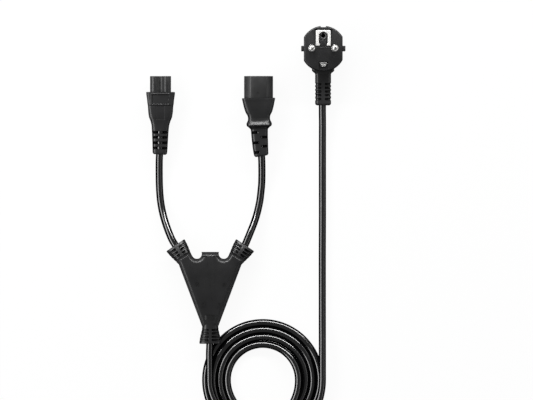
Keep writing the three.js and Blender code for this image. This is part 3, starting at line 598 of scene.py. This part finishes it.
def circleOutline(x, y, radius, count=48):
    return [(x + radius * math.cos(a), y + radius * math.sin(a))
            for a in np.linspace(0, 2 * math.pi, count, endpoint=False)]


def cutFrom(piece, cutters):
    points, faces = joinParts(cutters)
    mesh = bpy.data.meshes.new(piece.name + "_cutter")
    mesh.from_pydata([tuple(np.array(p) * mm) for p in points], [], faces)
    cutter = bpy.data.objects.new(piece.name + "_cutter", mesh)
    bpy.context.collection.objects.link(cutter)
    boolean = piece.modifiers.new("cut", "BOOLEAN")
    boolean.operation = "DIFFERENCE"
    boolean.solver = "EXACT"
    boolean.use_self = True
    boolean.object = cutter
    applyModifiers(piece)
    bpy.data.objects.remove(cutter)


def applyModifiers(piece):
    graph = bpy.context.evaluated_depsgraph_get()
    mesh = bpy.data.meshes.new_from_object(piece.evaluated_get(graph))
    piece.modifiers.clear()
    piece.data = mesh
    mesh.shade_smooth()
    mesh.set_sharp_from_angle(angle=math.radians(28))


def turned(profile, around=64, centre=(0.0, 0.0)):
    points, faces = [], []
    for radius, z in profile:
        for a in np.linspace(0, 2 * math.pi, around, endpoint=False):
            points.append((centre[0] + radius * math.cos(a), centre[1] + radius * math.sin(a), z))
    return points, ringSides(len(profile), around)


makeBlock(blockSizes)
makeDimpleShadeDiscs(blockSizes)
print("stage: block made")


# plug
plugSizes = dict(
    x=93.1, y=198.8, radius=18.5, flat=15.85, face=32.5, edge=1.0, reliefEnd=-46.4, cordZ=7.5,
    rib=18.15, ribHalf=2.1, ribSunk=1.0, ribCorner=0.35, ribFoot=15.0, ribDrop=0.8, ribEdge=0.3,
    notch=((-2.2, 17.4, -1.0), (2.2, 20.0, 40.0)), notchCorner=0.3,
    clipPocket=((-3.9, -17.2, 30.1), (3.9, -10.9, 40.0)), pocketCorner=0.5,
    clipBars=((3.05, -12.4, 1.0, 0.85), (2.1, -14.7, 1.5, 0.5)), barEdge=0.15,
    gapSide=0.8, gapFoot=0.4, gapTop=0.7, gapDepth=1.9, gapCorner=0.6,
    holeY=10.4, holeRadius=3.25, holeFloor=14.0, cutTop=40.0,
    frameHalf=6.2, frameTop=15.0, frameFoot=2.2, leg=2.6, footIn=2.9,
    frameSunk=1.6, frameProud=0.3, frameEdge=0.5,
    bowCentre=5.0, bowShare=(0.82, 0.18), frameCorner=1.0, footRise=1.3, legRise=2.6,
    tongue=dict(half=2.4, foot=1.0, short=3.6, root=28.0, drop=0.25, corner=0.3, edge=0.2),
    bar=dict(half=7.0, low=-0.35, high=1.05, root=30.0, proud=0.18, corner=0.3, edge=0.15),
    pinSpacing=19.0, pinRadius=2.4, pinTop=51.5, dome=1.7,
    pinShaft=[(0.0, 9.6), (1.6, 9.6), (1.6, 15.0), (3.4, 15.0), (3.4, 17.0), (2.4, 17.0), (2.4, 32.4),
              (2.95, 32.45), (3.0, 32.7), (2.85, 32.95), (2.4, 33.1)],
    sleeve=[(2.85, 16.0), (2.85, 30.3), (2.93, 30.5), (3.05, 30.5), (3.15, 30.3), (3.15, 16.0)],
    sleeveFloor=[(2.84, 29.9), (2.4, 30.1), (1.8, 29.8), (1.5, 29.2), (1.5, 20.0), (0.0, 19.5)],
    neck=[(-0.02, 5.05, 5.3, 3.6), (0.5, 6.05, 6.1, 4.2), (1.6, 6.55, 6.5, 4.6), (25.6, 6.55, 6.5, 4.8),
          (26.6, 7.05, 6.7, 5.0), (28.0, 8.7, 7.1, 6.0), (28.8, 9.2, 7.2, 7.0), (40.0, 9.2, 7.2, 7.0)],
    rows=(4.9, 8.1, 11.2, 14.3, 17.4), groove=dict(half=0.75, spine=1.5, depth=2.9, sideDepth=0.4, soft=0.2),
)


def plugOutline(v, count=56):
    flat = math.acos(v["flat"] / v["radius"])
    arcs = [np.linspace(flat, math.pi - flat, count), np.linspace(math.pi + flat, 2 * math.pi - flat, count)]
    return [(v["radius"] * math.cos(a), v["radius"] * math.sin(a)) for arc in arcs for a in arc]


def shifted(mesh, v):
    points, faces = mesh
    return np.asarray(points, float) + np.array([v["x"], v["y"], 0.0]), faces


def makePlugBody(v):
    outer = prism(plugOutline(v), 0.0, v["face"], v["edge"])
    body = meshPiece("plug_moulding", *shifted(outer, v), "rubber")
    half, top, foot, face = v["frameHalf"], v["frameTop"], v["frameFoot"], v["face"]
    cutters = [
        roundBox(*v["notch"], v["notchCorner"]),
        roundBox((-half - v["gapSide"], foot - v["gapFoot"], face - v["gapDepth"]),
                 (half + v["gapSide"], top + v["gapTop"], v["cutTop"]), v["gapCorner"]),
        roundBox(*v["clipPocket"], v["pocketCorner"]),
        prism(circleOutline(0.0, v["holeY"], v["holeRadius"]), v["holeFloor"], v["cutTop"]),
    ]
    cutFrom(body, [shifted(c, v) for c in cutters])
    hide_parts("plug_body")
    extra = []
    for side in (-1, 1):
        low, high = sorted((side * (v["flat"] - v["ribSunk"]), side * v["rib"]))
        outline = roundOutline(low, high, -v["ribHalf"], v["ribHalf"], v["ribCorner"])
        extra.append(prism(outline, v["ribFoot"], face - v["ribDrop"], v["ribEdge"]))
    t, b = v["tongue"], v["bar"]
    tongue = roundOutline(-t["half"], t["half"], foot - t["foot"], v["holeY"] - t["short"], t["corner"])
    extra.append(prism(tongue, t["root"], face - t["drop"], t["edge"]))
    bar = roundOutline(-b["half"], b["half"], b["low"], b["high"], b["corner"])
    extra.append(prism(bar, b["root"], face + b["proud"], b["edge"]))
    meshPiece("plug_ribs", *joinParts([shifted(e, v) for e in extra]), "rubber", sharp=30.0)
    line = straight((v["x"], v["y"] + v["reliefEnd"]), (0.0, -1.0), v["cordZ"], 0.18)
    neck = loftMesh(line, v["neck"], around=160, cut=grooveCut(v["rows"], **v["groove"]))
    meshPiece("plug_relief", *neck, "rubber", sharp=30.0)


def makePins(v):
    radius, dome = v["pinRadius"], v["dome"]
    rounded = [(radius * math.cos(a), v["pinTop"] - dome + dome * math.sin(a))
               for a in np.linspace(0, math.pi / 2, 12)]
    for side, node in ((-1, "plug_pin_line"), (1, "plug_pin_neutral")):
        spot = (v["x"] + side * v["pinSpacing"] / 2, v["y"])
        meshPiece(node + "_turned", *turned(v["pinShaft"] + rounded, 64, spot), "nickel", (node,), sharp=30.0)


def makeEarthFrame(v):
    half, top, foot, leg, inner = v["frameHalf"], v["frameTop"], v["frameFoot"], v["leg"], v["footIn"]
    narrow, wide = foot + v["footRise"], foot + v["legRise"]
    low, high = v["bowShare"]
    bow = [((half - leg) * math.cos(a), top - v["bowCentre"] + (half - leg) * math.sin(a))
           for a in np.linspace(math.pi * low, math.pi * high, 24)]
    corner = [(half - v["frameCorner"] * (1 - math.cos(a)), top - v["frameCorner"] * (1 - math.sin(a)))
              for a in np.linspace(0, math.pi / 2, 6)]
    outline = [(-half, foot), (-inner, foot), (-inner, narrow), (-half + leg, wide), (-half + leg, bow[0][1]),
               *bow, (half - leg, bow[0][1]), (half - leg, wide), (inner, narrow), (inner, foot),
               (half, foot), *corner, *[(-x, y) for x, y in reversed(corner)]]
    plate = prism(outline, v["face"] - v["frameSunk"], v["face"] + v["frameProud"], v["frameEdge"], 6)
    meshPiece("earth_frame_plate", *shifted(plate, v), "stamped", ("plug_earth_frame",), sharp=40.0)


def makeEarthSleeve(v):
    # a thin metal sleeve in the hole, round a dark moulded lining
    spot = (v["x"], v["y"] + v["holeY"])
    meshPiece("earth_sleeve", *turned(v["sleeve"], 72, spot), "nickel", ("plug_earth_socket",), sharp=50.0)
    meshPiece("earth_hole_floor", *turned(v["sleeveFloor"], 48, spot), "rubber")


def makeClip(v):
    # the folded end of the lower side clip: a rounded fold and the lip behind it
    parts = []
    edge = v["barEdge"]
    for half, y, drop, radius in v["clipBars"]:
        profile = ((0.0, -half), (radius - edge, -half), (radius, -half + edge), (radius, half - edge),
                   (radius - edge, half), (0.0, half))
        points, faces = turned(profile, 24)
        points = np.array(points)
        lying = np.column_stack([points[:, 2], points[:, 0] + y, points[:, 1] + v["face"] - drop])
        parts.append((lying, faces))
    meshPiece("earth_clip_fold", *joinParts([shifted(p, v) for p in parts]), "spring", sharp=40.0)


makePlugBody(plugSizes)
makePins(plugSizes)
makeEarthFrame(plugSizes)
makeEarthSleeve(plugSizes)
makeClip(plugSizes)
print("stage: plug made")


# connectors
wideSizes = dict(
    z=10.0, x=39.85, tip=176.4, noseHalf=11.9, noseUp=8.0, chamferWide=5.5, chamferHigh=4.0,
    bottomCorner=0.6, soften=(0.2, 0.3), noseRoot=150.0, noseEdge=0.35,
    slots=((0.0, 2.0), (-7.0, -2.0), (7.0, -2.0)), slotMouth=(1.25, 2.4), slotInside=(2.15, 2.35),
    slotEnds=(153.0, 174.6), mouthEnds=(174.0, 180.0), pip=(-0.4, 161.6), pipRadius=1.2, pipDepth=0.5,
    keys=[(110.4, 4.6, 4.6, 3.2), (110.7, 5.2, 5.1, 3.4), (111.7, 5.9, 5.6, 3.8), (114.5, 6.2, 5.7, 4.0),
          (121.6, 6.6, 5.9, 4.0), (128.0, 6.85, 6.1, 4.0), (132.4, 7.1, 6.3, 4.2), (134.2, 8.6, 7.6, 5.0),
          (135.2, 9.8, 9.0, 5.0), (136.0, 10.4, 9.3, 5.0), (137.2, 10.45, 8.9, 5.0), (138.6, 9.95, 8.35, 5.0),
          (140.0, 9.3, 8.1, 5.0), (141.4, 9.05, 8.05, 5.0), (143.4, 9.3, 8.35, 5.0), (146.9, 11.0, 8.9, 5.5),
          (151.5, 12.35, 9.4, 6.5), (155.0, 13.1, 9.7, 7.5), (157.4, 13.6, 10.0, 8.0),
          (158.05, 13.65, 10.0, 8.0), (158.3, 13.35, 9.75, 8.0)],
    windows=((-1, 130.0), (-1, 121.6), (-1, 113.9), (1, 125.8), (1, 118.2)),
    window=dict(half=0.85, spine=0.7, floor=2.7, reach=6.1),
)
wideLine = ((110.4, 42.35), (114.5, 41.7), (121.6, 41.1), (128.0, 40.7), (134.0, 40.45), (141.0, 40.25),
            (150.0, 40.0), (158.3, 39.85))


def bentLine(table, z):
    ys, xs = [p[0] for p in table], [p[1] for p in table]

    def at(y):
        x = float(eased(ys, xs, np.array([y]))[0])
        ahead = float(eased(ys, xs, np.array([min(y + 0.5, ys[-1])]))[0])
        behind = float(eased(ys, xs, np.array([max(y - 0.5, ys[0])]))[0])
        run = min(y + 0.5, ys[-1]) - max(y - 0.5, ys[0])
        heading = np.array([(ahead - behind) / run, 1.0])
        return (x, y, z), heading / np.linalg.norm(heading)
    return {"at": at, "step": 0.2}


def windowCut(windows, half, spine, floor, reach):
    # slots through the relief's wall that leave the lead showing
    def cut(place, out, up):
        sunkUp = up.copy()
        for side, row in windows:
            along = 1 - float(smoothstep(half - 0.15, half + 0.2, abs(place - row)))
            if along <= 0:
                continue
            across = smoothstep(spine, spine + 0.5, out * side)
            across *= 1 - smoothstep(reach - 0.4, reach, out * side)
            level = np.sqrt(np.maximum(floor**2 - out**2, 0.0))
            sunk = sunkUp + (np.sign(up) * level - sunkUp) * along * across
            sunkUp = np.where(np.abs(up) > level, sunk, sunkUp)
        return out, sunkUp
    return cut


def makeWideConnector(v):
    slots = windowCut(v["windows"], **v["window"])
    shell = loftMesh(bentLine(wideLine, v["z"]), v["keys"], around=200, cut=slots)
    meshPiece("wide_moulding", *shell, "rubber", ("wide_shell",), sharp=30.0)
    half, up, wide, high = v["noseHalf"], v["noseUp"], v["chamferWide"], v["chamferHigh"]
    corner, (small, large) = v["bottomCorner"], v["soften"]
    right = [(half - corner, -up), (half, -up + corner), (half, up - high - large), (half - large, up - high),
             (half - wide + large, up - small), (half - wide - small, up)]
    outline = right + [(-x, y) for x, y in reversed(right)]
    points, faces = prism(outline, 0.0, v["tip"] - v["noseRoot"], v["noseEdge"])
    nose = np.column_stack([points[:, 0] + v["x"], v["tip"] - points[:, 2], points[:, 1] + v["z"]])
    piece = meshPiece("wide_nose", nose, faces, "hardBlock")
    cutters = []
    steps = ((v["slotMouth"], v["mouthEnds"]), (v["slotInside"], v["slotEnds"]))
    for dx, dz in v["slots"]:
        x, z = v["x"] + dx, v["z"] + dz
        for (acrossHalf, upHalf), (low, high) in steps:
            cutters.append(boxMesh((x - acrossHalf, low, z - upHalf), (x + acrossHalf, high, z + upHalf)))
    pipX, pipY = v["pip"]
    cutters.append(prism(circleOutline(v["x"] + pipX, pipY, v["pipRadius"], 24),
                         v["z"] + up - v["pipDepth"], v["z"] + 20.0))
    cutFrom(piece, cutters)
    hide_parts("wide_contact_block")


cloverSizes = dict(
    z=8.0, x=-41.0, tip=176.4, lobe=3.65, spacing=10.0, rise=2.6,
    keys=[(111.8, 4.6, 4.3, 3.2), (112.1, 5.2, 4.8, 3.4), (113.2, 5.95, 5.3, 3.8), (121.0, 6.35, 5.5, 4.0),
          (128.0, 6.7, 5.7, 4.0), (131.5, 6.9, 5.8, 4.2), (135.5, 7.25, 6.2, 4.5), (139.3, 8.2, 6.8, 5.0),
          (143.0, 9.55, 7.4, 5.5), (146.7, 10.1, 7.5, 6.0), (152.2, 10.5, 7.5, 7.0), (152.5, 10.6, 8.0, 8.0),
          (157.0, 11.1, 8.0, 8.0), (163.0, 11.8, 8.0, 8.0), (163.3, 11.55, 7.75, 8.0)],
    rows=(130.0, 125.9, 121.4, 117.1), window=dict(half=0.9, spine=0.4, floor=2.7, reach=5.7),
    ears=(-62, 118), lowerLobe=(200, 340), valley=[(0.9, 0.7), (0.3, 0.5), (-0.3, 0.5), (-0.9, 0.7)],
    recess=dict(low=153.5, high=161.2, half=6.7, shift=0.0, depth=0.6, wall=0.3),
    tray=dict(low=140.2, high=151.8, half=3.6, shift=0.2, depth=0.14, wall=0.4), trayWall=0.3,
    rim=dict(half=7.1, centre=157.35, along=4.0, out=0.35, width=0.4, height=0.16),
    noseRoot=152.0, noseEdge=0.25, pinHole=1.4, holeFrom=156.0, holeDepth=22.0,
)
cloverLine = ((111.8, -41.75), (116.0, -41.5), (121.0, -41.4), (130.7, -41.3), (140.0, -41.1), (152.0, -41.0),
              (163.3, -41.0))


def cloverOutline(v, count=40):
    # two ears, a valley between them, and the third lobe below, walked anticlockwise
    radius, dx, dz = v["lobe"], v["spacing"] / 2, v["rise"]
    start, end = v["ears"]

    def arc(cx, cz, low, high):
        return [(cx + radius * math.cos(a), cz + radius * math.sin(a))
                for a in np.radians(np.linspace(low, high, count))]
    valley = [(x, dz + rise) for x, rise in v["valley"]]
    rightEar = arc(dx, dz, start, end)
    leftEar = arc(-dx, dz, 180 - end, 180 - start)
    return rightEar + valley + leftEar + arc(0.0, -dz, *v["lowerLobe"])


def makeCloverConnector(v):
    windows = [(side, row) for row in v["rows"] for side in (-1, 1)]
    slots = windowCut(windows, **v["window"])
    recess, tray, rim = v["recess"], v["tray"], v["rim"]

    def hollow(h, sideWall, place, out):
        rising = float(smoothstep(h["low"], h["low"] + h["wall"], place))
        falling = 1 - float(smoothstep(h["high"] - h["wall"], h["high"], place))
        across = 1 - smoothstep(h["half"], h["half"] + sideWall, np.abs(out + h["shift"]))
        return h["depth"] * rising * falling * across

    def cut(place, out, up):
        out, up = slots(place, out, up)
        sink = hollow(recess, recess["wall"], place, out) + hollow(tray, v["trayWall"], place, out)
        outside = np.maximum(np.abs(out) - rim["half"], abs(place - rim["centre"]) - rim["along"])
        raised = rim["height"] * np.exp(-((outside - rim["out"]) / rim["width"]) ** 2)
        return out, np.where(up > 3.0, up - sink + raised, up)
    shell = loftMesh(bentLine(cloverLine, v["z"]), v["keys"], around=200, cut=cut)
    meshPiece("clover_moulding", *shell, "rubber", ("clover_shell",), sharp=30.0)
    points, faces = prism(cloverOutline(v), 0.0, v["tip"] - v["noseRoot"], v["noseEdge"])
    nose = np.column_stack([points[:, 0] + v["x"], v["tip"] - points[:, 2], points[:, 1] + v["z"]])
    piece = meshPiece("clover_nose", nose, faces, "hardBlock")
    cutters = []
    for dx, dz in ((0.0, -v["rise"]), (-v["spacing"] / 2, v["rise"]), (v["spacing"] / 2, v["rise"])):
        hole = circleOutline(v["x"] + dx, v["z"] + dz, v["pinHole"], 32)
        spots, corners = prism(hole, 0.0, v["holeDepth"])
        cutters.append((np.column_stack([spots[:, 0], v["holeFrom"] + spots[:, 2], spots[:, 1]]), corners))
    cutFrom(piece, cutters)
    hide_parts("clover_contact_block")


makeWideConnector(wideSizes)
makeCloverConnector(cloverSizes)
print("stage: connectors made")


# carried-over inner pieces
coreLooks = {"earth": "coreGreen", "line": "coreBrown", "neutral": "coreBlue"}
innerLooks = {
    "brass": ("splitter_splice_", "wide_contact_earth", "wide_contact_line", "wide_contact_neutral",
              "clover_contact_earth", "clover_contact_line", "clover_contact_neutral"),
    "stamped": ("plug_earth_strap", "plug_earth_socket"),
    "hardBlock": ("plug_pin_bridge",),
}


def dressInner():
    for piece in list(bpy.data.objects):
        if piece.type != "MESH" or piece.data.materials and piece.data.materials[0] in looks.values():
            continue
        look = next((look for look, starts in innerLooks.items() if piece.name.startswith(starts)), None)
        if "_core_" in piece.name:
            look = coreLooks[piece.name.rsplit("_", 1)[1]]
        if look:
            piece.data.materials.clear()
            piece.data.materials.append(looks[look])
            piece.data.shade_smooth()
            piece.data.set_sharp_from_angle(angle=math.radians(40))


dressInner()
print("stage: inner pieces dressed")


# table, lamps and world
lampAim = (0.046, 0.05, 0.01)
lampSizes = {
    "left_soft": dict(place=(-0.93, 0.0, 0.84), along=(0, 1, 0), size=(1.5, 0.42), power=9.0),
    "top_strip": dict(place=(0.0, 0.95, 0.95), along=(1, 0, 0), size=(2.2, 0.16), power=24.0),
    "right_soft": dict(place=(1.05, 0.0, 0.64), along=(0, 1, 0), size=(1.5, 0.20), power=1.2),
}
worldGrey = 0.13
floorSizes = dict(grey=0.86, rough=0.9, seen=0.93, reach=3.0, drop=0.0002)


def makeLamps():
    aim = Vector(lampAim)
    for name, v in lampSizes.items():
        data = bpy.data.lights.new(name, "AREA")
        data.shape = "RECTANGLE"
        data.size, data.size_y = v["size"]
        data.energy = v["power"]
        lamp = bpy.data.objects.new(name, data)
        lamp.location = Vector(v["place"]) + aim
        facing = (aim - lamp.location).normalized()
        across = facing.cross(Vector(v["along"])).normalized()
        along = across.cross(facing).normalized()
        lamp.matrix_world = matrixFrom(along, across, facing, lamp.location)
        bpy.context.collection.objects.link(lamp)


def matrixFrom(along, across, facing, place):
    rows = Matrix((along, -across, -facing)).transposed().to_4x4()
    rows.translation = place
    return rows


def seenDirectly(tree):
    # one where the table is seen or mirrored, and nothing where it lights the lead
    path = addNode(tree, "ShaderNodeLightPath")
    both = mathNode(tree, "MAXIMUM", path.outputs["Is Camera Ray"], path.outputs["Is Glossy Ray"])
    return mathNode(tree, "MAXIMUM", both, path.outputs["Is Transmission Ray"])


def makeWorld():
    world = bpy.data.worlds.new("studio")
    bpy.context.scene.world = world
    world.use_nodes = True
    tree = world.node_tree
    tree.nodes.clear()
    colour = (worldGrey, worldGrey, worldGrey, 1.0)
    plain = addNode(tree, "ShaderNodeBackground", {"Color": colour, "Strength": 1.0})
    out = addNode(tree, "ShaderNodeOutputWorld")
    tree.links.new(plain.outputs[0], out.inputs["Surface"])


def makeFloor(v):
    material, tree, shader = startMaterial("table_top")
    shader.inputs["Base Color"].default_value = (v["grey"], v["grey"], v["grey"], 1.0)
    shader.inputs["Roughness"].default_value = v["rough"]
    shader.inputs["Specular IOR Level"].default_value = 0.0
    glow = addNode(tree, "ShaderNodeEmission", {"Color": (1.0, 1.0, 1.0, 1.0), "Strength": 1.0})
    share = mathNode(tree, "MULTIPLY", seenDirectly(tree), v["seen"])
    mixed = addNode(tree, "ShaderNodeMixShader", {0: share, 1: shader.outputs[0], 2: glow.outputs[0]})
    tree.links.new(mixed.outputs[0], tree.nodes["Material Output"].inputs["Surface"])
    mesh = bpy.data.meshes.new("table_top")
    reach = v["reach"]
    corners = [(-reach, -reach, 0), (reach, -reach, 0), (reach, reach, 0), (-reach, reach, 0)]
    mesh.from_pydata(corners, [], [(0, 1, 2, 3)])
    floor = bpy.data.objects.new("table_top", mesh)
    floor.location.z = -v["drop"]
    mesh.materials.append(material)
    bpy.context.collection.objects.link(floor)


makeLamps()
makeWorld()
makeFloor(floorSizes)
bpy.context.scene.view_settings.view_transform = "Standard"
print("stage: table and lamps set")
